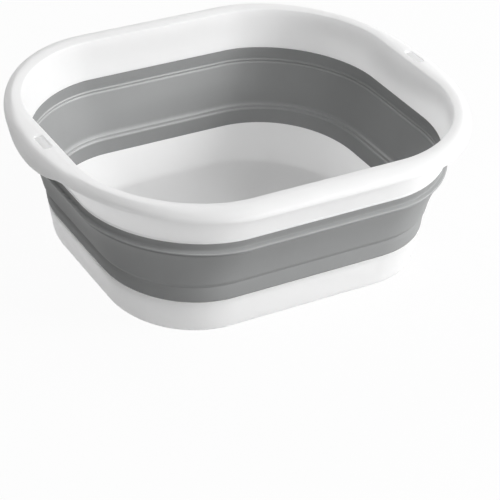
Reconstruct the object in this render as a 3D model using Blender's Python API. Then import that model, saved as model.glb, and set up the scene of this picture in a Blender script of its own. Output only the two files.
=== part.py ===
"""A collapsible wash basin: a hard rim and a hard tray joined by a soft wall that folds.

The basin stands open on its tray. Its origin is the middle of the underside, +Z is up, and its
long side runs along X. Every ring of it is worked out from the one below, foot first, so a change
of one size carries the pieces above it along.
"""
import math
from typing import NamedTuple

import bmesh
import bpy

# Plan shape, shared by every ring of the wall: the middle of its corners, and how they round
CORNER_ALONG = 0.0760
CORNER_ACROSS = 0.0487
CORNER_POWER = 1.9
CORNER_STEPS = 12
END_STEPS = 2

# Tray
FOOT_HALF_LENGTH = 0.1551
FOOT_HALF_WIDTH = 0.1362
FOOT_ROUND = 0.0015
FOOT_RING_WIDTH = 0.0030
FOOT_RING_HEIGHT = 0.0020
FLOOR_THICKNESS = 0.0025
FLOOR_INSET = 0.0180
FLOOR_CORNER_EASE = 0.0200
SKIRT_HEIGHT = 0.0270
TRAY_HEIGHT = 0.0340
TRAY_FLARE_ALONG = 0.0064
TRAY_FLARE_ACROSS = 0.0065
TRAY_WALL = 0.0022

# Soft wall
LOWER_BAND_HEIGHT = 0.0160
LOWER_BAND_FLARE_ALONG = 0.0035
LOWER_BAND_FLARE_ACROSS = 0.0005
HINGE_WALL = 0.0028
PANEL_HEIGHT = 0.0460
PANEL_FLARE_ALONG = 0.0114
PANEL_FLARE_ACROSS = 0.0108
PANEL_WALL = 0.0020
PANEL_BULGE = 0.0010
UPPER_BAND_HEIGHT = 0.0120
HINGE_BEAD = 0.0026
HINGE_BEAD_HEIGHT = 0.0030
LAP_HEIGHT = 0.0040

# Rim
COLLAR_HEIGHT = 0.0387
COLLAR_FLARE_ALONG = 0.0076
COLLAR_FLARE_ACROSS = 0.0047
COLLAR_WALL = 0.0028
FLANGE_WALL = 0.0024
FLANGE_CROWN = 0.0036
CROWN_REACH = 0.0060
HANDLE_REACH = 0.0267
SIDE_REACH = 0.0223
LIP_DROP = 0.0080
LIP_ROUND = 0.0060
SLOT_LENGTH = 0.0240
SLOT_WIDTH = 0.0080
SLOT_FROM_EDGE = 0.0060

# Clearances
RUNNING_GAP = 0.0003
SEAM_GAP = 0.0003

# Colours are linear, as a shader takes them
WHITE_PLASTIC = (0.86, 0.86, 0.85)
GREY_ELASTOMER = (0.27, 0.275, 0.275)


class Ring(NamedTuple):
    """One ring of the wall: its half length, half width and height.

    Ease says how much nearer the middle its corners begin than those of the wall.
    """

    along: float
    across: float
    height: float
    ease: float = 0.0

    def inside(self, distance):
        """The ring that lies a distance inside this one, at its height."""
        return self._replace(along=self.along - distance, across=self.across - distance)

    def flared(self, along, across, rise):
        """The ring above this one, longer and wider by its flare."""
        return Ring(self.along + along, self.across + across, self.height + rise, self.ease)

    def toward(self, other, height):
        """The ring at a height on the straight line from this one through another."""
        share = (height - self.height) / (other.height - self.height)
        along = self.along + (other.along - self.along) * share
        across = self.across + (other.across - self.across) * share
        return Ring(along, across, height, self.ease + (other.ease - self.ease) * share)

    def at(self, height):
        """This ring moved to a height."""
        return self._replace(height=height)


# Rings where the pieces meet, worked out from the foot upwards and outwards
FOOT = Ring(FOOT_HALF_LENGTH, FOOT_HALF_WIDTH, 0.0)
TRAY_SEAM = FOOT.flared(TRAY_FLARE_ALONG, TRAY_FLARE_ACROSS, TRAY_HEIGHT)
LOWER_HINGE = TRAY_SEAM.flared(LOWER_BAND_FLARE_ALONG, LOWER_BAND_FLARE_ACROSS, LOWER_BAND_HEIGHT)
PANEL_FOOT = LOWER_HINGE.inside(-RUNNING_GAP - PANEL_WALL)
PANEL_TOP = PANEL_FOOT.flared(PANEL_FLARE_ALONG, PANEL_FLARE_ACROSS, PANEL_HEIGHT)
COLLAR_SEAM = PANEL_TOP.flared(RUNNING_GAP, RUNNING_GAP, UPPER_BAND_HEIGHT)
FLANGE_EDGE = COLLAR_SEAM.flared(COLLAR_FLARE_ALONG, COLLAR_FLARE_ACROSS, COLLAR_HEIGHT)
FLOOR_HEIGHT = FOOT_RING_HEIGHT + FLOOR_THICKNESS


def clear_scene():
    """Empty the file that the script is run from."""
    for thing in list(bpy.data.objects):
        bpy.data.objects.remove(thing, do_unlink=True)


def moulded_material(name, colour, roughness):
    """A plain moulded plastic."""
    material = bpy.data.materials.new(name)
    material.use_nodes = True
    shader = material.node_tree.nodes["Principled BSDF"]
    shader.inputs["Base Color"].default_value = (*colour, 1.0)
    shader.inputs["Roughness"].default_value = roughness
    shader.inputs["Metallic"].default_value = 0.0
    return material


def wall_quarter(ring):
    """A quarter of a ring's plan, from the middle of its end to its long side."""
    middle_x, middle_y = CORNER_ALONG - ring.ease, CORNER_ACROSS - ring.ease
    reach_x, reach_y = ring.along - middle_x, ring.across - middle_y
    power = 2 / CORNER_POWER
    points = [(ring.along, middle_y * step / END_STEPS) for step in range(END_STEPS)]
    for step in range(CORNER_STEPS + 1):
        turn = math.pi / 2 * step / CORNER_STEPS
        along = max(math.cos(turn), 0.0) ** power
        across = max(math.sin(turn), 0.0) ** power
        points.append((middle_x + reach_x * along, middle_y + reach_y * across))
    return points


def mirrored(quarter):
    """The whole outline from its first quarter, which starts on the X axis."""
    second = [(-x, y) for x, y in reversed(quarter)]
    third = [(-x, -y) for x, y in quarter[1:]]
    fourth = [(x, -y) for x, y in reversed(quarter[1:])]
    return quarter + second + third + fourth


def wall_outline(ring):
    """A ring of the wall as 3-D points."""
    return [(x, y, ring.height) for x, y in mirrored(wall_quarter(ring))]


def rim_edge_point(x, y):
    """The point on the rim's outline that lies straight outside a point of its inner edge.

    The outline is straight along the long sides, and half an ellipse round each handle end.
    """
    half_width = FLANGE_EDGE.across + SIDE_REACH
    if x <= CORNER_ALONG:
        return x, half_width
    reach = FLANGE_EDGE.along + HANDLE_REACH - CORNER_ALONG
    ray_x = x - CORNER_ALONG
    ratio = math.hypot(ray_x / reach, y / half_width)
    return CORNER_ALONG + ray_x / ratio, y / ratio


def flange_outline(from_inner, from_outer, height):
    """A ring of the flange, a distance outside its inner edge or inside its outline."""
    quarter = []
    for x, y in wall_quarter(FLANGE_EDGE):
        edge_x, edge_y = rim_edge_point(x, y)
        width = math.hypot(edge_x - x, edge_y - y)
        share = from_inner / width if from_outer is None else 1 - from_outer / width
        quarter.append((x + (edge_x - x) * share, y + (edge_y - y) * share))
    return [(x, y, height) for x, y in mirrored(quarter)]


def skin_outlines(mesh, outlines, closed):
    """Join each outline to the next with faces, and the last to the first if closed."""
    rows = [[mesh.verts.new(point) for point in outline] for outline in outlines]
    pairs = list(zip(rows, rows[1:]))
    if closed:
        pairs.append((rows[-1], rows[0]))
    for row, following in pairs:
        for index, corner in enumerate(row):
            after = (index + 1) % len(row)
            mesh.faces.new((corner, row[after], following[after], following[index]))
    return rows


def finish_object(name, mesh, material):
    """Put a bmesh into the scene as one smooth-shaded object."""
    bmesh.ops.recalc_face_normals(mesh, faces=mesh.faces)
    data = bpy.data.meshes.new(name)
    mesh.to_mesh(data)
    mesh.free()
    data.shade_smooth()
    data.set_sharp_from_angle(angle=math.radians(40))
    data.materials.append(material)
    thing = bpy.data.objects.new(name, data)
    bpy.context.scene.collection.objects.link(thing)
    return thing


def ring_body(name, section, material):
    """A closed ring-shaped body from the rings at the corners of its section."""
    mesh = bmesh.new()
    skin_outlines(mesh, [wall_outline(ring) for ring in section], closed=True)
    return finish_object(name, mesh, material)


def base_tray(material):
    """The hard tray: a skirt that stands on its foot ring, and a bowl that slopes to the floor.

    The skirt and the bowl meet below the rebate that the soft wall laps.
    """
    lap_low = FOOT.toward(TRAY_SEAM, TRAY_SEAM.height - LAP_HEIGHT / 2)
    lap_high = TRAY_SEAM.toward(LOWER_HINGE, TRAY_SEAM.height + LAP_HEIGHT / 2)
    rebate = (TRAY_WALL + SEAM_GAP) / 2
    bowl_top = TRAY_SEAM.inside(TRAY_WALL)
    floor_edge = FOOT.inside(FLOOR_INSET).at(FLOOR_HEIGHT)._replace(ease=FLOOR_CORNER_EASE)
    lean = (bowl_top.along - floor_edge.along) / (bowl_top.height - floor_edge.height)
    bowl_wall = TRAY_WALL * math.hypot(1.0, lean)
    rings = [
        floor_edge.toward(bowl_top, FOOT_RING_HEIGHT).inside(-bowl_wall),
        floor_edge.toward(bowl_top, SKIRT_HEIGHT).inside(-bowl_wall),
        FOOT.inside(FOOT_ROUND + FOOT_RING_WIDTH),
        FOOT.inside(FOOT_ROUND),
        FOOT.inside(FOOT_ROUND * 0.3).at(FOOT_ROUND * 0.3),
        FOOT.toward(TRAY_SEAM, FOOT_ROUND),
        lap_low,
        lap_low.inside(rebate),
        lap_high.inside(rebate),
        lap_high.inside(TRAY_WALL),
        bowl_top,
        floor_edge,
    ]
    mesh = bmesh.new()
    rows = skin_outlines(mesh, [wall_outline(ring) for ring in rings], closed=False)
    mesh.faces.new(rows[0])
    mesh.faces.new(rows[-1])
    return finish_object("base_tray", mesh, material)


def lower_wall_band(material):
    """The soft band that stays on the tray: its skirt laps the tray's edge from outside."""
    lap_low = FOOT.toward(TRAY_SEAM, TRAY_SEAM.height - LAP_HEIGHT / 2 + SEAM_GAP)
    lap_high = TRAY_SEAM.toward(LOWER_HINGE, TRAY_SEAM.height + LAP_HEIGHT / 2 + SEAM_GAP)
    skirt = (TRAY_WALL - SEAM_GAP) / 2
    section = [
        lap_low,
        TRAY_SEAM,
        LOWER_HINGE,
        LOWER_HINGE.inside(HINGE_WALL),
        lap_high.inside(TRAY_WALL),
        lap_high.inside(skirt),
        lap_low.inside(skirt),
    ]
    return ring_body("lower_wall_band", section, material)


def fold_panel(material):
    """The soft wall between its two hinge lines, slightly bulged."""
    foot = PANEL_FOOT.at(PANEL_FOOT.height + RUNNING_GAP)
    top = PANEL_TOP.at(PANEL_TOP.height - RUNNING_GAP)
    middle = foot.toward(top, (foot.height + top.height) / 2).inside(-PANEL_BULGE)
    section = [
        foot,
        middle,
        top,
        top.inside(PANEL_WALL),
        middle.inside(PANEL_WALL),
        foot.inside(PANEL_WALL),
    ]
    return ring_body("fold_panel", section, material)


def upper_wall_band(material):
    """The soft band under the collar, with the bead of the upper hinge along its lower edge."""
    lap_low = COLLAR_SEAM.height - LAP_HEIGHT / 2 - SEAM_GAP
    lap_high = COLLAR_SEAM.height + LAP_HEIGHT / 2 - SEAM_GAP
    tongue = (COLLAR_WALL - SEAM_GAP) / 2
    hinge_height = PANEL_TOP.height
    foot = hinge_height - HINGE_BEAD_HEIGHT / 2
    section = [
        COLLAR_SEAM.at(foot),
        COLLAR_SEAM.inside(-COLLAR_WALL).at(foot),
        COLLAR_SEAM.inside(-COLLAR_WALL - HINGE_BEAD).at(hinge_height),
        COLLAR_SEAM.inside(-COLLAR_WALL - HINGE_BEAD).at(foot + HINGE_BEAD_HEIGHT),
        COLLAR_SEAM.inside(-COLLAR_WALL).at(lap_low),
        COLLAR_SEAM.inside(-tongue).at(lap_low),
        COLLAR_SEAM.inside(-tongue).at(lap_high),
        COLLAR_SEAM.at(lap_high),
    ]
    return ring_body("upper_wall_band", section, material)


def slot_cutter(side):
    """The tool that cuts a hanging slot down through one handle end."""
    mesh = bmesh.new()
    bmesh.ops.create_circle(mesh, cap_ends=True, segments=24, radius=SLOT_WIDTH / 2)
    stretch = (SLOT_LENGTH - SLOT_WIDTH) / 2
    for corner in mesh.verts:
        if abs(corner.co.y) > SLOT_WIDTH * 0.01:
            corner.co.y += math.copysign(stretch, corner.co.y)
    outline = list(mesh.faces)
    raised = bmesh.ops.extrude_face_region(mesh, geom=outline)["geom"]
    depth = FLANGE_CROWN + COLLAR_HEIGHT
    for thing in raised:
        if isinstance(thing, bmesh.types.BMVert):
            thing.co.z += depth
    bmesh.ops.recalc_face_normals(mesh, faces=mesh.faces)
    data = bpy.data.meshes.new("slot_cutter")
    mesh.to_mesh(data)
    mesh.free()
    cutter = bpy.data.objects.new("slot_cutter", data)
    bpy.context.scene.collection.objects.link(cutter)
    middle = FLANGE_EDGE.along + SLOT_FROM_EDGE + SLOT_WIDTH / 2
    cutter.location = (side * middle, 0.0, FLANGE_EDGE.height + 2 * FLANGE_CROWN - depth)
    cutter.hide_render = True
    cutter.display_type = "WIRE"
    return cutter


def rim_frame(material):
    """The hard rim: a crowned flange with a turned-down lip, and the collar inside it."""
    lap_low = COLLAR_SEAM.at(COLLAR_SEAM.height - LAP_HEIGHT / 2)
    lap_high = COLLAR_SEAM.at(COLLAR_SEAM.height + LAP_HEIGHT / 2)
    rebate = (COLLAR_WALL + SEAM_GAP) / 2
    crown_z = FLANGE_EDGE.height + FLANGE_CROWN
    lip_z = FLANGE_EDGE.height - LIP_DROP
    shoulder_z = crown_z - LIP_ROUND
    under_z = crown_z - FLANGE_WALL
    collar_top = lap_high.toward(FLANGE_EDGE, FLANGE_EDGE.height - FLANGE_CROWN)
    outlines = [
        wall_outline(lap_low.inside(-rebate)),
        wall_outline(lap_high.inside(-rebate)),
        wall_outline(lap_high),
        wall_outline(FLANGE_EDGE),
        flange_outline(CROWN_REACH * 0.25, None, FLANGE_EDGE.height + FLANGE_CROWN * 0.7),
        flange_outline(CROWN_REACH, None, crown_z),
        flange_outline(None, LIP_ROUND * 1.2, crown_z - LIP_ROUND * 0.1),
        flange_outline(None, LIP_ROUND * 0.3, crown_z - LIP_ROUND * 0.45),
        flange_outline(None, 0.0, shoulder_z),
        flange_outline(None, FLANGE_WALL * 0.2, lip_z),
        flange_outline(None, FLANGE_WALL * 1.2, lip_z),
        flange_outline(None, FLANGE_WALL, shoulder_z),
        flange_outline(None, LIP_ROUND * 1.2, under_z - LIP_ROUND * 0.1),
        flange_outline(CROWN_REACH, None, under_z),
        wall_outline(collar_top.inside(-COLLAR_WALL)),
        wall_outline(lap_low.inside(-COLLAR_WALL)),
    ]
    mesh = bmesh.new()
    skin_outlines(mesh, outlines, closed=True)
    rim = finish_object("rim_frame", mesh, material)
    for side in (-1, 1):
        cut = rim.modifiers.new("hanging_slot", "BOOLEAN")
        cut.operation = "DIFFERENCE"
        cut.object = slot_cutter(side)
    return rim


def main():
    """Build the basin, open and standing on its tray."""
    clear_scene()
    white = moulded_material("white_polypropylene", WHITE_PLASTIC, 0.38)
    grey = moulded_material("grey_elastomer", GREY_ELASTOMER, 0.55)
    base_tray(white)
    lower_wall_band(grey)
    fold_panel(grey)
    upper_wall_band(grey)
    rim_frame(white)


main()
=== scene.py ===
"""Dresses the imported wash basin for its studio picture.

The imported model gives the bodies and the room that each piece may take. This script makes the
three real mouldings of the basin in full detail: the hard rim, the soft folding wall and the hard
tray. It gives them their finishes, and sets up floor, lamps and camera.
"""
import logging
import math
from dataclasses import dataclass, field
from enum import Enum
from typing import NamedTuple, Sequence

import bpy
import numpy as np
from mathutils import Matrix, Vector


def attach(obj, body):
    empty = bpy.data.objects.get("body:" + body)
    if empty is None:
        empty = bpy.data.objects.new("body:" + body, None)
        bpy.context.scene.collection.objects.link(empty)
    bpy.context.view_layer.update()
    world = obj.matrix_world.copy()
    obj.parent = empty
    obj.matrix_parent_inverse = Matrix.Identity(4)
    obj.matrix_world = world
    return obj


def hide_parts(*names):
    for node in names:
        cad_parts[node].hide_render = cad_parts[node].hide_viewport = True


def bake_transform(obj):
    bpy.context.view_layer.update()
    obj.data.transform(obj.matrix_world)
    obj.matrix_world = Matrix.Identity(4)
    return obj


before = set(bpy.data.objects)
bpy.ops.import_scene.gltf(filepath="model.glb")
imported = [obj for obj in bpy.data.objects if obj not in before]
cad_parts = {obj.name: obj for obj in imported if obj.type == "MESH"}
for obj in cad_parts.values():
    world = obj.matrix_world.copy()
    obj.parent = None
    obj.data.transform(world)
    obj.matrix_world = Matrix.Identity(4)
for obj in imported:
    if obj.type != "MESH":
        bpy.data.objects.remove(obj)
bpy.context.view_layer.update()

LOG = logging.getLogger("wash_basin")
MM = 0.001
PICTURE_SIDE = 500
# Point layer of the hinge beads: it paints them lighter as a painted highlight, and also makes them
# glossier and smoother.
HIGHLIGHT_AND_POLISH_LAYER = "hinge_highlight_and_polish"
ROUND_POINTS = 6
LONGEST_REACH = 0.49


class Slot(Enum):
    """Names of the two material slots."""

    WHITE = "white_polypropylene"
    GREY = "grey_elastomer"


class Body(Enum):
    """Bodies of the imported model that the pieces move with."""

    BASE = "base"
    RIM = "rim"


class Knot(NamedTuple):
    """One corner of a ring-shaped section, in millimetres.

    The fifth value says how much lighter the colour is painted there, from 0 to 1: a painted highlight on
    the hinge beads.
    Ease says how much nearer the middle of the basin the ring's corners begin than those of the outer wall.
    """

    along: float
    across: float
    height: float
    rounding: float = 0.0
    painted_highlight: float = 0.0
    ease: float = 0.0


class FlangeKnot(NamedTuple):
    """One corner of the flange's section, in millimetres.

    The distance is counted outwards from the flange's inner edge where the flange is narrowest.
    Pull says how much of the extra width elsewhere comes before this corner, from 0 to 1, and
    droop how much lower it lies in the middle of a handle end.
    """

    distance: float
    height: float
    pull: float
    rounding: float = 0.0
    droop: float = 0.0


def linear_colour(hex_code: str) -> tuple[float, float, float, float]:
    """Turn an sRGB hex code into a linear colour.

    Args:
        hex_code: six hexadecimal digits, with or without a leading hash.

    Returns:
        The linear red, green and blue, and an alpha of 1.
    """
    digits = hex_code.lstrip("#")
    channels = [int(digits[i : i + 2], 16) / 255 for i in (0, 2, 4)]
    linear = [c / 12.92 if c <= 0.04045 else ((c + 0.055) / 1.055) ** 2.4 for c in channels]
    return (linear[0], linear[1], linear[2], 1.0)


def add_node(
    tree: bpy.types.NodeTree,
    kind: str,
    settings: dict[str, object] | None = None,
    values: dict[str | int, object] | None = None,
    links: dict[str | int, bpy.types.NodeSocket] | None = None,
) -> bpy.types.Node:
    """Add one node with its settings, socket values and incoming links.

    Args:
        tree: the node tree to add to.
        kind: the node's type name.
        settings: attributes of the node.
        values: default values by input socket.
        links: output sockets of other nodes by input socket.

    Returns:
        The new node.
    """
    node = tree.nodes.new(kind)
    for name, value in (settings or {}).items():
        setattr(node, name, value)
    for key, value in (values or {}).items():
        node.inputs[key].default_value = value
    for key, output in (links or {}).items():
        tree.links.new(output, node.inputs[key])
    return node


def soften(knots: Sequence[tuple[float, ...]], closed: bool, longest: float) -> np.ndarray:
    """Round the corners of a section and cut its long runs into short ones.

    Args:
        knots: corners, each with its rounding as the fourth value and any extra values after it.
        closed: whether the section closes on itself.
        longest: the longest run to leave, in the knots' own unit.

    Returns:
        An array with one row for each point: the knots' values without the rounding.
    """
    width = len(knots[0]) - 1
    places = [np.array([*knot[:3], *knot[4:]], float) for knot in knots]
    roundings = [knot[3] for knot in knots]
    count = len(knots)
    points: list[np.ndarray] = []
    for index, place in enumerate(places):
        before = places[index - 1] if closed or index > 0 else None
        after = places[(index + 1) % count] if closed or index < count - 1 else None
        if before is None or after is None or roundings[index] <= 0:
            points.append(place)
            continue
        length_in = float(np.linalg.norm((before - place)[:3]))
        length_out = float(np.linalg.norm((after - place)[:3]))
        reach_in = min(roundings[index], LONGEST_REACH * length_in)
        reach_out = min(roundings[index], LONGEST_REACH * length_out)
        start = place + (before - place) * (reach_in / length_in)
        stop = place + (after - place) * (reach_out / length_out)
        for share in np.linspace(0.0, 1.0, ROUND_POINTS):
            points.append(start * (1 - share) ** 2 + place * 2 * share * (1 - share) + stop * share**2)
    if closed:
        points.append(points[0])
    fine = [points[0]]
    for start, stop in zip(points, points[1:]):
        parts = max(1, math.ceil(float(np.linalg.norm((stop - start)[:3])) / longest))
        fine.extend(start + (stop - start) * step / parts for step in range(1, parts + 1))
    if closed:
        fine.pop()
    return np.array(fine).reshape(-1, width)


def skin(
    name: str,
    rows: Sequence[np.ndarray],
    closed: bool,
    capped: bool = False,
    painted_highlight: np.ndarray | None = None,
) -> bpy.types.Object:
    """Build a smooth-shaded mesh from outlines that are joined one to the next.

    Args:
        name: the new object's name.
        rows: outlines with the same number of points each, in metres.
        closed: whether the last outline joins the first.
        capped: whether the first and last outline are filled.
        painted_highlight: how much each point's colour is painted lighter as a painted highlight, from 0 to
            1, outline by outline.

    Returns:
        The new object, linked to the scene.
    """
    size = len(rows[0])
    points = np.concatenate(rows)
    following = np.roll(np.arange(size), -1)
    faces: list[tuple[int, ...]] = []
    spans = len(rows) if closed else len(rows) - 1
    for row in range(spans):
        low, high = row * size, ((row + 1) % len(rows)) * size
        faces.extend(
            (low + i, low + int(following[i]), high + int(following[i]), high + i) for i in range(size)
        )
    if capped:
        faces.append(tuple(reversed(range(size))))
        faces.append(tuple(range((len(rows) - 1) * size, len(rows) * size)))
    mesh = bpy.data.meshes.new(name)
    mesh.from_pydata(points.tolist(), [], faces)
    mesh.update()
    if painted_highlight is not None:
        layer = mesh.attributes.new(HIGHLIGHT_AND_POLISH_LAYER, "FLOAT", "POINT")
        layer.data.foreach_set("value", painted_highlight.astype(np.float32).ravel())
    thing = bpy.data.objects.new(name, mesh)
    bpy.context.scene.collection.objects.link(thing)
    turn_outwards(mesh)
    shade(mesh)
    return thing


def turn_outwards(mesh: bpy.types.Mesh) -> None:
    """Flip a closed mesh whose faces point into its material.

    Args:
        mesh: the mesh to look at.
    """
    corners = np.zeros(len(mesh.vertices) * 3)
    mesh.vertices.foreach_get("co", corners)
    corners = corners.reshape(-1, 3)
    mesh.calc_loop_triangles()
    triangles = np.zeros(len(mesh.loop_triangles) * 3, int)
    mesh.loop_triangles.foreach_get("vertices", triangles)
    a, b, c = (corners[triangles[i::3]] for i in range(3))
    volume = float(np.einsum("ij,ij->i", a, np.cross(b, c)).sum())
    if volume < 0:
        mesh.flip_normals()


def shade(mesh: bpy.types.Mesh, angle: float = 50.0) -> None:
    """Shade a mesh smooth except along sharp edges.

    Args:
        mesh: the mesh to shade.
        angle: the angle in degrees from which an edge counts as sharp.
    """
    mesh.shade_smooth()
    mesh.set_sharp_from_angle(angle=math.radians(angle))


@dataclass(frozen=True)
class Plan:
    """Plan shape of every ring of the basin, in millimetres.

    A ring is straight along its ends and sides. Its corners curve round one common middle, a
    little fuller in the tray than in the rim.
    """

    corner_along: float = 76.0
    corner_across: float = 48.7
    low_power: float = 2.06
    high_power: float = 1.9
    low_height: float = 50.0
    high_height: float = 95.0
    end_steps: int = 8
    corner_steps: int = 28
    side_steps: int = 8

    def quarter(self, along: float, across: float, height: float, ease: float = 0.0) -> np.ndarray:
        """Points of a quarter ring, from the middle of its end to the middle of its side.

        Args:
            along: the ring's half length.
            across: the ring's half width.
            height: its height, which sets how full its corners are.
            ease: how much nearer the basin's middle its corners begin.

        Returns:
            An array of plan points in millimetres.
        """
        share = (height - self.low_height) / (self.high_height - self.low_height)
        share = min(1.0, max(0.0, share))
        power = 2 / (self.low_power + (self.high_power - self.low_power) * share)
        middle_x, middle_y = self.corner_along - ease, self.corner_across - ease
        end = [(along, middle_y * step / self.end_steps) for step in range(self.end_steps)]
        turns = np.linspace(0, math.pi / 2, self.corner_steps + 1)
        reach_x, reach_y = along - middle_x, across - middle_y
        corner = [
            (
                middle_x + reach_x * max(math.cos(turn), 0.0) ** power,
                middle_y + reach_y * max(math.sin(turn), 0.0) ** power,
            )
            for turn in turns
        ]
        side = [
            (middle_x * (1 - step / self.side_steps), across) for step in range(1, self.side_steps + 1)
        ]
        return np.array(end + corner + side)

    @staticmethod
    def mirrored(quarter: np.ndarray) -> np.ndarray:
        """The whole outline from its first quarter, without doubling the points on the axes.

        Args:
            quarter: plan points from the middle of an end to the middle of a side.

        Returns:
            An array of plan points all the way round.
        """
        second = quarter[:-1][::-1] * (-1, 1)
        third = quarter[1:] * (-1, -1)
        fourth = quarter[1:-1][::-1] * (1, -1)
        return np.concatenate([quarter, second, third, fourth])

    def outline(self, along: float, across: float, height: float, ease: float = 0.0) -> np.ndarray:
        """A whole ring as 3-D points in metres.

        Args:
            along: the ring's half length in millimetres.
            across: the ring's half width in millimetres.
            height: its height in millimetres.
            ease: how much nearer the basin's middle its corners begin, in millimetres.

        Returns:
            An array of points in metres.
        """
        flat = self.mirrored(self.quarter(along, across, height, ease))
        return np.column_stack([flat, np.full(len(flat), height)]) * MM


@dataclass(frozen=True)
class MouldedFinish:
    """A moulded polymer with a fine spark-eroded texture.

    Mould texture is a fraction of a millimetre deep. It takes the mirror sharpness off highlights
    and breaks them up a little when seen from near by.
    """

    name: str
    colour: str
    patch_colour: str
    roughness: float
    roughness_spread: float
    index: float
    gloss: float
    texture_mm: float
    texture_depth_mm: float
    patch_mm: float
    through_share: float = 0.0
    # Painted highlight: the hinge beads are painted lighter in this colour, and the next two values make
    # them glossier and smoother.
    painted_highlight_colour: str = ""
    flexed_gloss: float = 0.0
    flexed_roughness: float = 0.0

    def material(self) -> bpy.types.Material:
        """Build the material.

        Returns:
            The new material.
        """
        material = bpy.data.materials.new(self.name)
        material.use_nodes = True
        tree = material.node_tree
        tree.nodes.clear()
        place = add_node(tree, "ShaderNodeTexCoord").outputs["Object"]
        patches = add_node(
            tree,
            "ShaderNodeTexNoise",
            values={"Scale": 1 / (self.patch_mm * MM), "Detail": 3.0, "Roughness": 0.5},
            links={"Vector": place},
        )
        grain = add_node(
            tree,
            "ShaderNodeTexNoise",
            values={"Scale": 1 / (self.texture_mm * MM), "Detail": 2.0, "Roughness": 0.6},
            links={"Vector": place},
        )
        tone = add_node(
            tree,
            "ShaderNodeMix",
            settings={"data_type": "RGBA"},
            values={6: linear_colour(self.colour), 7: linear_colour(self.patch_colour)},
            links={0: patches.outputs["Fac"]},
        )
        colour = tone.outputs[2]
        # Painted highlight: lighten the colour along the hinge beads as the point layer says.
        if self.painted_highlight_colour:
            highlight_and_polish_mask = add_node(
                tree, "ShaderNodeAttribute", settings={"attribute_name": HIGHLIGHT_AND_POLISH_LAYER}
            )
            lightened = add_node(
                tree,
                "ShaderNodeMix",
                settings={"data_type": "RGBA"},
                values={7: linear_colour(self.painted_highlight_colour)},
                links={0: highlight_and_polish_mask.outputs["Fac"], 6: colour},
            )
            colour = lightened.outputs[2]
        rough = add_node(
            tree,
            "ShaderNodeMapRange",
            values={
                "From Min": 0.3,
                "From Max": 0.7,
                "To Min": self.roughness - self.roughness_spread,
                "To Max": self.roughness + self.roughness_spread,
            },
            links={"Value": grain.outputs["Fac"]},
        )
        roughness = rough.outputs["Result"]
        if self.painted_highlight_colour:
            smoothed = add_node(
                tree,
                "ShaderNodeMix",
                values={3: self.flexed_roughness},
                links={0: highlight_and_polish_mask.outputs["Fac"], 2: roughness},
            )
            roughness = smoothed.outputs[0]
            shine = add_node(
                tree,
                "ShaderNodeMapRange",
                values={"To Min": self.gloss, "To Max": self.flexed_gloss},
                links={"Value": highlight_and_polish_mask.outputs["Fac"]},
            )
        relief = add_node(
            tree,
            "ShaderNodeBump",
            values={"Strength": 0.5, "Distance": self.texture_depth_mm * MM},
            links={"Height": grain.outputs["Fac"]},
        )
        shader = add_node(
            tree,
            "ShaderNodeBsdfPrincipled",
            values={
                "Metallic": 0.0,
                "IOR": self.index,
                "Specular IOR Level": self.gloss,
            },
            links={
                "Base Color": colour,
                "Roughness": roughness,
                "Normal": relief.outputs["Normal"],
            },
        )
        if self.painted_highlight_colour:
            tree.links.new(shine.outputs["Result"], shader.inputs["Specular IOR Level"])
        surface = shader.outputs["BSDF"]
        if self.through_share > 0:
            through = add_node(
                tree,
                "ShaderNodeBsdfTranslucent",
                links={"Color": colour, "Normal": relief.outputs["Normal"]},
            )
            thin = add_node(
                tree,
                "ShaderNodeMixShader",
                values={0: self.through_share},
                links={1: surface, 2: through.outputs["BSDF"]},
            )
            surface = thin.outputs["Shader"]
        add_node(tree, "ShaderNodeOutputMaterial", links={"Surface": surface})
        return material


def dress(piece: bpy.types.Object, finish: MouldedFinish) -> None:
    """Give a piece its finish.

    Args:
        piece: the piece to dress.
        finish: what it is made of.
    """
    piece.data.materials.clear()
    piece.data.materials.append(finish.material())


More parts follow.
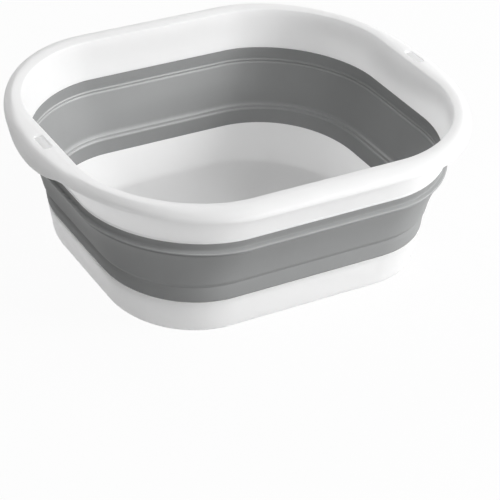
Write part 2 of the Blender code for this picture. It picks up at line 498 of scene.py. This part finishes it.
@dataclass
class RimFrame:
    """The hard rim: a crowned flange with a turned-down lip, on a flared collar.

    Lengths are in millimetres. The flange's section is given where it is narrowest, halfway along
    a long side, and stretches towards the handle ends.
    """

    plan: Plan
    finish: MouldedFinish
    edge_along: float = 186.6
    edge_across: float = 161.3
    edge_height: float = 146.7
    handle_reach: float = 26.6
    side_reach: float = 22.3
    collar_foot_along: float = 182.0
    collar_foot_across: float = 160.0
    collar_foot_height: float = 107.0
    collar_wall: float = 1.9
    collar_run: float = 4.0
    flange_run: float = 3.0
    slot_middle: float = 196.6
    slot_length: float = 24.0
    slot_width: float = 8.0
    slot_corner: float = 3.0
    slot_edge_round: float = 1.1
    slot_top: float = 149.1
    slot_under: float = 146.4
    slot_tool_reach: float = 12.0
    sharp_angle: float = 42.0
    flange_knots: tuple[FlangeKnot, ...] = (
        FlangeKnot(-0.3, 148.3, 0.0, 1.3),
        FlangeKnot(8.5, 149.5, 0.0, 4.0),
        FlangeKnot(16.8, 147.8, 1.0, 4.0, 0.6),
        FlangeKnot(22.0, 144.0, 1.0, 2.6, 2.8),
        FlangeKnot(22.2, 139.9, 1.0, 0.9, 8.6),
        FlangeKnot(20.0, 139.9, 1.0, 0.7, 8.6),
        FlangeKnot(19.8, 143.6, 1.0, 2.0, 2.8),
        FlangeKnot(15.8, 145.6, 1.0, 3.0, 0.6),
        FlangeKnot(7.6, 147.0, 0.0, 3.0),
    )

    def edge_point(self, x: float, y: float) -> tuple[float, float]:
        """The point of the rim's outline straight outside a point of its inner edge.

        Args:
            x: the inner edge's point along the basin, not below 0.
            y: the inner edge's point across it, not below 0.

        Returns:
            The outline's point.
        """
        half_width = self.edge_across + self.side_reach
        middle = self.plan.corner_along
        if x <= middle:
            return x, half_width
        reach = self.edge_along + self.handle_reach - middle
        ratio = math.hypot((x - middle) / reach, y / half_width)
        return middle + (x - middle) / ratio, y / ratio

    def flange_row(self, distance: float, height: float, pull: float, droop: float) -> np.ndarray:
        """One whole ring of the flange.

        Args:
            distance: from the inner edge, where the flange is narrowest.
            height: of the ring there.
            pull: share of the extra width elsewhere that comes before the ring.
            droop: how much lower the ring lies in the middle of a handle end.

        Returns:
            Points in metres.
        """
        quarter = []
        for x, y in self.plan.quarter(self.edge_along, self.edge_across, self.edge_height):
            out_x, out_y = self.edge_point(float(x), float(y))
            width = math.hypot(out_x - x, out_y - y)
            share = (distance + pull * (width - self.side_reach)) / width
            widening = (width - self.side_reach) / (self.handle_reach - self.side_reach)
            level = height - droop * max(0.0, widening)
            quarter.append((x + (out_x - x) * share, y + (out_y - y) * share, level))
        points = np.array(quarter)
        heights = self.plan.mirrored(np.column_stack([points[:, 2], points[:, 2]]))[:, 0]
        flat = self.plan.mirrored(points[:, :2])
        return np.column_stack([flat, np.abs(heights)]) * MM

    def collar_knots(self) -> list[Knot]:
        """Corners of the collar's foot and inner side, from the foot up.

        Returns:
            The corners in millimetres.
        """
        foot, wall = self.collar_foot_height, self.collar_wall
        inner_along, inner_across = self.collar_foot_along - wall, self.collar_foot_across - wall
        return [
            Knot(self.collar_foot_along - 0.9, self.collar_foot_across - 0.9, foot - 0.3, 0.2),
            Knot(self.collar_foot_along - 0.9, self.collar_foot_across - 0.9, foot + 1.0, 0.2),
            Knot(inner_along + 0.6, inner_across + 0.6, foot + 1.0, 0.3, 0.0, 4.0),
            Knot(inner_along + 0.3, inner_across + 0.3, foot + 1.4, 0.3, 0.0, 4.0),
            Knot(self.edge_along - 1.2, self.edge_across - 0.9, self.edge_height - 6.0, 2.0),
        ]

    def section_rows(self) -> list[np.ndarray]:
        """All rings of the rim's section, in order round it.

        Returns:
            Rings of points in metres.
        """
        foot, wall = self.collar_foot_height, self.collar_wall
        collar = soften(self.collar_knots(), False, self.collar_run)
        rows = [self.plan.outline(*point[:3], point[4]) for point in collar]
        knots = [(k.distance, k.height, k.pull, k.rounding, k.droop) for k in self.flange_knots]
        lead_in = (-0.6, self.edge_height - 3.0, 0.0, 1.0, 0.0)
        lead_out = (4.6, self.edge_height - 2.6, 0.0, 2.0, 0.0)
        softened = soften([lead_in, *knots, lead_out], False, self.flange_run)
        rows.extend(self.flange_row(*point) for point in softened)
        outside = [
            Knot(self.edge_along + 2.2, self.edge_across + 2.6, self.edge_height - 5.0, 2.0),
            Knot(self.collar_foot_along + 0.1, self.collar_foot_across + 0.1, foot + 1.4, 0.5),
            Knot(self.collar_foot_along + 0.7, self.collar_foot_across + 0.7, foot + 0.7, 0.4),
            Knot(self.collar_foot_along + 0.5, self.collar_foot_across + 0.5, foot - 0.4, 0.4),
            Knot(self.collar_foot_along - 0.6, self.collar_foot_across - 0.6, foot - 0.4, 0.1),
        ]
        softened = soften(outside, False, self.collar_run)
        rows.extend(self.plan.outline(*point[:3]) for point in softened)
        return rows

    def slot_tool(self, side: int) -> bpy.types.Object:
        """The tool that cuts one hanging slot, flared at both faces so that its edges are soft.

        Args:
            side: 1 for the right-hand handle end, -1 for the left-hand one.

        Returns:
            The cutting object.
        """
        top, under = self.slot_top, self.slot_under
        levels: list[tuple[float, float]] = [(under - self.slot_tool_reach, self.slot_edge_round)]
        for turn in np.linspace(0, math.pi / 2, 7):
            drop = self.slot_edge_round * math.sin(turn)
            levels.append((under + drop * 0.8, self.slot_edge_round * (1 - math.sin(turn)) * 0.6))
        for turn in np.linspace(0, math.pi / 2, 9):
            rise = self.slot_edge_round * (1 - math.cos(turn))
            levels.append((top - self.slot_edge_round + rise, rise))
        levels.append((top + self.slot_tool_reach, self.slot_edge_round))
        levels = sorted(set(levels))
        rows = []
        for height, flare in levels:
            corner = self.slot_corner + flare
            half_x, half_y = self.slot_width / 2 + flare, self.slot_length / 2 + flare
            ring = []
            for quadrant in range(4):
                centre_x = (half_x - corner) * (1 if quadrant in (0, 3) else -1)
                centre_y = (half_y - corner) * (1 if quadrant in (0, 1) else -1)
                for step in range(9):
                    turn = math.pi / 2 * (quadrant + step / 8)
                    ring.append((centre_x + corner * math.cos(turn), centre_y + corner * math.sin(turn)))
            flat = np.array(ring) + (side * self.slot_middle, 0.0)
            rows.append(np.column_stack([flat, np.full(len(flat), height)]) * MM)
        return skin("slot_tool", rows, closed=False, capped=True)

    def build(self) -> bpy.types.Object:
        """Make the rim and cut its two hanging slots.

        Returns:
            The finished piece.
        """
        rim = skin("rim_shell", self.section_rows(), closed=True)
        for side in (-1, 1):
            tool = self.slot_tool(side)
            cut = rim.modifiers.new("hanging_slot", "BOOLEAN")
            cut.operation = "DIFFERENCE"
            cut.solver = "EXACT"
            cut.object = tool
            bpy.context.view_layer.update()
            ready = rim.evaluated_get(bpy.context.evaluated_depsgraph_get())
            mesh = bpy.data.meshes.new_from_object(ready)
            rim.modifiers.clear()
            rim.data = mesh
            bpy.data.objects.remove(tool, do_unlink=True)
        shade(rim.data, self.sharp_angle)
        dress(rim, self.finish)
        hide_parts("rim_frame")
        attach(rim, Body.RIM.value)
        return rim


@dataclass
class SoftWall:
    """The soft folding wall, one moulding from the collar down to the tray.

    Lengths are in millimetres. Two thin hinge lines let it roll inside out as the rim goes down.
    Their colour is painted lighter, a painted highlight, and less so from the start of the fade towards the
    right-hand end, where they lie in shade.
    """

    plan: Plan
    finish: MouldedFinish
    lower_hinge_height: float = 50.0
    upper_hinge_height: float = 96.0
    fade_start: float = 30.0
    fade_end: float = 130.0
    fade_left: float = 0.35
    longest_run: float = 2.4
    # The fifth values paint the hinge beads and the outer ridge lighter: a painted highlight.
    outside: tuple[Knot, ...] = (
        Knot(160.6, 141.2, 34.6, 0.3),
        Knot(161.6, 142.1, 34.9, 0.3),
        Knot(162.3, 142.6, 36.4, 0.5),
        Knot(163.7, 142.7, 45.6, 1.5),
        Knot(163.5, 142.4, 48.6, 1.0),
        Knot(163.2, 141.9, 50.4, 0.6),
        Knot(166.5, 145.0, 54.8, 0.8),
        Knot(169.3, 147.2, 64.5, 6.0),
        Knot(172.7, 150.8, 75.0, 8.0),
        Knot(177.1, 156.1, 85.5, 6.0),
        Knot(180.9, 159.8, 91.6, 1.0),
        Knot(182.0, 160.8, 93.6, 0.6),
        Knot(181.6, 160.3, 94.6, 0.4),
        Knot(182.4, 161.2, 95.5, 0.4),
        Knot(184.3, 163.4, 96.5, 0.7, 0.3),
        Knot(184.1, 163.2, 97.9, 0.7, 0.45),
        Knot(180.9, 159.3, 99.0, 1.0),
        Knot(180.9, 159.0, 101.0, 1.2),
        Knot(182.0, 160.1, 105.6, 0.5),
        Knot(181.8, 159.8, 106.4, 0.2),
        Knot(181.0, 159.0, 106.5, 0.1),
        Knot(181.0, 159.0, 107.7, 0.1),
    )
    inside: tuple[Knot, ...] = (
        Knot(180.6, 158.4, 107.7, 0.2, 0.0, 4.0),
        Knot(180.8, 158.6, 106.0, 0.6, 0.0, 4.0),
        Knot(181.6, 159.7, 95.4, 0.5, 0.0, 4.0),
        Knot(180.8, 158.8, 94.5, 0.4, 0.9, 4.0),
        Knot(180.8, 158.8, 93.7, 0.4, 0.7, 4.0),
        Knot(181.6, 159.8, 93.0, 0.4, 0.1, 4.0),
        Knot(181.4, 159.6, 92.4, 0.4, 0.1, 4.0),
        Knot(180.1, 158.4, 91.8, 0.3, 1.0, 4.0),
        Knot(179.9, 158.2, 91.1, 0.4, 0.8, 4.0),
        Knot(179.6, 157.9, 90.2, 0.5, 0.0, 4.0),
        Knot(176.1, 155.0, 85.0, 6.0, 0.0, 6.0),
        Knot(170.8, 149.5, 75.0, 8.0, 0.0, 9.0),
        Knot(167.3, 145.9, 64.5, 6.0, 0.0, 12.0),
        Knot(165.0, 143.4, 56.0, 1.0, 0.0, 12.0),
        Knot(164.2, 142.6, 53.8, 0.6, 0.4, 12.0),
        Knot(162.1, 140.7, 52.6, 0.4, 1.0, 12.0),
        Knot(162.0, 140.6, 51.6, 0.4, 0.8, 12.0),
        Knot(162.3, 141.1, 50.9, 0.4, 0.5, 12.0),
        Knot(162.2, 141.0, 49.5, 0.4, 0.5, 12.0),
        Knot(160.8, 139.8, 48.7, 0.4, 1.0, 12.0),
        Knot(160.7, 139.7, 47.8, 0.4, 0.8, 12.0),
        Knot(161.0, 140.2, 46.9, 0.5, 0.0, 12.0),
        Knot(158.9, 140.4, 31.6, 0.3, 0.0, 12.0),
    )

    def build(self) -> bpy.types.Object:
        """Make the wall between tray and rim.

        Returns:
            The finished piece.
        """
        section = soften([*self.outside, *self.inside], True, self.longest_run)
        rows = [self.plan.outline(*point[:3], point[4]) for point in section]
        along = rows[0][:, 0] / MM
        # The painted highlight weakens towards the right-hand end: painted shade where less light falls.
        fading = np.clip((along - self.fade_start) / (self.fade_end - self.fade_start), 0.0, 1.0)
        highlight_strength = 1.0 - (1.0 - self.fade_left) * fading
        wall = skin("soft_wall", rows, closed=True, painted_highlight=np.outer(section[:, 3], highlight_strength))
        dress(wall, self.finish)
        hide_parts("lower_wall_band", "fold_panel", "upper_wall_band")
        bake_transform(wall)
        return wall


@dataclass
class BaseTray:
    """The hard tray: foot ring, outer skirt, and a bowl that slopes down to a flat floor.

    Lengths are in millimetres.
    """

    plan: Plan
    finish: MouldedFinish
    longest_run: float = 4.0
    outside: tuple[Knot, ...] = (
        Knot(144.0, 125.2, 2.0, 0.6),
        Knot(144.9, 126.1, 0.0, 0.8),
        Knot(154.9, 135.7, 0.0, 1.8),
        Knot(156.5, 137.6, 3.4, 2.6),
        Knot(161.7, 142.3, 33.6, 0.6),
        Knot(161.7, 142.2, 34.5, 0.3),
        Knot(160.6, 141.2, 34.3, 0.3),
    )
    inside: tuple[Knot, ...] = (
        Knot(160.1, 141.0, 32.0, 0.2, 0.0, 12.0),
        Knot(158.9, 140.4, 31.2, 0.4, 0.0, 12.0),
        Knot(138.4, 118.0, 4.5, 5.5, 0.0, 40.0),
        Knot(118.0, 98.0, 4.4, 3.0, 0.0, 40.0),
    )

    def build(self) -> bpy.types.Object:
        """Make the tray.

        Returns:
            The finished piece.
        """
        section = soften([*self.outside, *self.inside], False, self.longest_run)
        rows = [self.plan.outline(*point[:3], point[4]) for point in section]
        tray = skin("tray_shell", rows, closed=False, capped=True)
        dress(tray, self.finish)
        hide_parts("base_tray")
        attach(tray, Body.BASE.value)
        return tray


@dataclass
class Lamp:
    """One soft box, aimed at the basin.

    Azimuth is counted from straight in front of the long side, to the right. Lengths are in
    metres and angles in degrees.
    """

    name: str
    azimuth: float
    elevation: float
    distance: float
    width: float
    height: float
    power: float
    aim: tuple[float, float, float] = (0.0, 0.0, 0.07)
    spread: float = 180.0

    def build(self) -> bpy.types.Object:
        """Make the soft box.

        Returns:
            The lamp object.
        """
        light = bpy.data.lights.new(self.name, "AREA")
        light.shape = "RECTANGLE"
        light.size, light.size_y = self.width, self.height
        light.energy = self.power
        light.spread = math.radians(self.spread)
        lamp = bpy.data.objects.new(self.name, light)
        bpy.context.scene.collection.objects.link(lamp)
        turn, rise = math.radians(self.azimuth), math.radians(self.elevation)
        way = Vector(
            (math.sin(turn) * math.cos(rise), -math.cos(turn) * math.cos(rise), math.sin(rise))
        )
        lamp.location = Vector(self.aim) + way * self.distance
        lamp.rotation_euler = way.to_track_quat("Z", "Y").to_euler()
        return lamp


@dataclass
class Studio:
    """Floor, surroundings, lamps and camera. Lengths are in metres and angles in degrees."""

    ambient: float = 0.05
    floor_colour: str = "#D8D8D8"
    floor_glow: float = 0.95
    floor_half_side: float = 5.0
    floor_drop: float = 0.0002
    sensor_width_mm: float = 36.0
    view_end: float = 50.0
    lamps: tuple[Lamp, ...] = field(
        default_factory=lambda: (
            Lamp("key_box", 50.0, 25.0, 2.4, 0.9, 0.9, 49.0),
            Lamp("right_box", 75.0, 35.0, 2.4, 0.9, 0.9, 14.0),
            Lamp("low_right_box", 90.0, 18.0, 2.4, 0.9, 0.9, 9.0),
            Lamp("front_box", 6.0, 27.0, 2.4, 0.9, 0.9, 9.5),
            Lamp("left_box", -45.0, 45.0, 2.4, 0.9, 0.9, 10.0),
            Lamp("back_box", 180.0, 42.0, 2.4, 0.9, 0.9, 18.0),
        )
    )
    focal_px: float = 1878.7
    camera_distance: float = 1.8166
    azimuth: float = -31.11
    elevation: float = 32.79
    roll: float = 2.92
    offset_right: float = 0.01756
    offset_up: float = -0.01646

    def light_path_share(self, tree: bpy.types.NodeTree, share: float) -> bpy.types.NodeSocket:
        """A factor that is share for rays that show the background, and 0 for light.

        Args:
            tree: the node tree to add to.
            share: the factor for camera, glossy and transmission rays.

        Returns:
            The socket that gives the factor.
        """
        path = add_node(tree, "ShaderNodeLightPath")
        either = add_node(
            tree,
            "ShaderNodeMath",
            settings={"operation": "MAXIMUM"},
            links={0: path.outputs["Is Camera Ray"], 1: path.outputs["Is Glossy Ray"]},
        )
        any_seen = add_node(
            tree,
            "ShaderNodeMath",
            settings={"operation": "MAXIMUM"},
            links={0: either.outputs[0], 1: path.outputs["Is Transmission Ray"]},
        )
        scaled = add_node(
            tree,
            "ShaderNodeMath",
            settings={"operation": "MULTIPLY"},
            values={1: share},
            links={0: any_seen.outputs[0]},
        )
        return scaled.outputs[0]

    def build_floor(self) -> bpy.types.Object:
        """Make the plain pale floor, which keeps a trace of the basin's shadow.

        Returns:
            The floor object.
        """
        half = self.floor_half_side
        corners = [(-half, -half, 0.0), (half, -half, 0.0), (half, half, 0.0), (-half, half, 0.0)]
        mesh = bpy.data.meshes.new("floor")
        mesh.from_pydata(corners, [], [(0, 1, 2, 3)])
        floor = bpy.data.objects.new("floor", mesh)
        bpy.context.scene.collection.objects.link(floor)
        floor.location.z = -self.floor_drop
        material = bpy.data.materials.new("matt_white_paper")
        material.use_nodes = True
        tree = material.node_tree
        tree.nodes.clear()
        paper = add_node(
            tree, "ShaderNodeBsdfDiffuse", values={"Color": linear_colour(self.floor_colour)}
        )
        glow = add_node(tree, "ShaderNodeEmission", values={"Strength": 1.0})
        mix = add_node(
            tree,
            "ShaderNodeMixShader",
            links={
                0: self.light_path_share(tree, self.floor_glow),
                1: paper.outputs[0],
                2: glow.outputs[0],
            },
        )
        add_node(tree, "ShaderNodeOutputMaterial", links={"Surface": mix.outputs[0]})
        mesh.materials.append(material)
        return floor

    def build_surroundings(self) -> None:
        """Make the soft even light that comes from the white room."""
        world = bpy.data.worlds.new("white_room")
        world.use_nodes = True
        tree = world.node_tree
        tree.nodes.clear()
        strength = add_node(
            tree,
            "ShaderNodeMapRange",
            values={"To Min": self.ambient, "To Max": 1.0},
            links={"Value": self.light_path_share(tree, 1.0)},
        )
        room = add_node(
            tree,
            "ShaderNodeBackground",
            values={"Color": (1.0, 1.0, 1.0, 1.0)},
            links={"Strength": strength.outputs["Result"]},
        )
        add_node(tree, "ShaderNodeOutputWorld", links={"Surface": room.outputs[0]})
        bpy.context.scene.world = world

    def build_camera(self) -> bpy.types.Object:
        """Make the camera at the picture's viewing angle.

        Returns:
            The camera object.
        """
        turn, rise, roll = map(math.radians, (self.azimuth, self.elevation, self.roll))
        back = Vector(
            (math.sin(turn) * math.cos(rise), -math.cos(turn) * math.cos(rise), math.sin(rise))
        )
        level = Vector((math.cos(turn), math.sin(turn), 0.0))
        upright = back.cross(level)
        right = level * math.cos(roll) + upright * math.sin(roll)
        above = upright * math.cos(roll) - level * math.sin(roll)
        lens = bpy.data.cameras.new("camera")
        lens.sensor_width = self.sensor_width_mm
        lens.lens = self.focal_px * lens.sensor_width / PICTURE_SIDE
        lens.clip_end = self.view_end
        camera = bpy.data.objects.new("camera", lens)
        place = right * self.offset_right + above * self.offset_up + back * self.camera_distance
        camera.matrix_world = Matrix.Translation(place) @ Matrix((right, above, back)).transposed().to_4x4()
        bpy.context.scene.collection.objects.link(camera)
        bpy.context.scene.camera = camera
        return camera

    def build(self) -> None:
        """Set up the whole studio."""
        self.build_floor()
        self.build_surroundings()
        for lamp in self.lamps:
            lamp.build()
        self.build_camera()
        bpy.context.scene.view_settings.view_transform = "Standard"


# Polypropylene, injection moulded in a satin mould: milky white with a broad soft highlight. Some
# light shines through its thin walls, which keeps their shaded sides pale.
SATIN_POLYPROPYLENE = MouldedFinish(
    name="satin_moulded_polypropylene",
    colour="#F4F4F4",
    patch_colour="#F2F2F2",
    roughness=0.36,
    roughness_spread=0.03,
    index=1.49,
    gloss=0.5,
    texture_mm=0.6,
    texture_depth_mm=0.02,
    patch_mm=45.0,
    through_share=0.42,
)

# Thermoplastic elastomer, moulded over the white parts: a dense mid grey whose rubbery skin
# spreads the highlight wide and dims it.
SATIN_ELASTOMER = MouldedFinish(
    name="satin_moulded_elastomer",
    colour="#909191",
    patch_colour="#8C8D8D",
    roughness=0.55,
    roughness_spread=0.04,
    index=1.5,
    gloss=0.18,
    texture_mm=0.8,
    texture_depth_mm=0.025,
    patch_mm=30.0,
    # The hinge beads are painted lighter in this colour, a painted highlight, and are glossier and smoother
    # there.
    painted_highlight_colour="#ABACAC",
    flexed_gloss=0.9,
    flexed_roughness=0.3,
)


def main() -> None:
    """Build the pieces and the studio in order."""
    logging.basicConfig(level=logging.INFO)
    plan = Plan()
    Studio().build()
    for maker in (
        BaseTray(plan, SATIN_POLYPROPYLENE),
        SoftWall(plan, SATIN_ELASTOMER),
        RimFrame(plan, SATIN_POLYPROPYLENE),
    ):
        piece = maker.build()
        LOG.info("%s: %d faces", piece.name, len(piece.data.polygons))


if __name__ == "__main__":
    main()
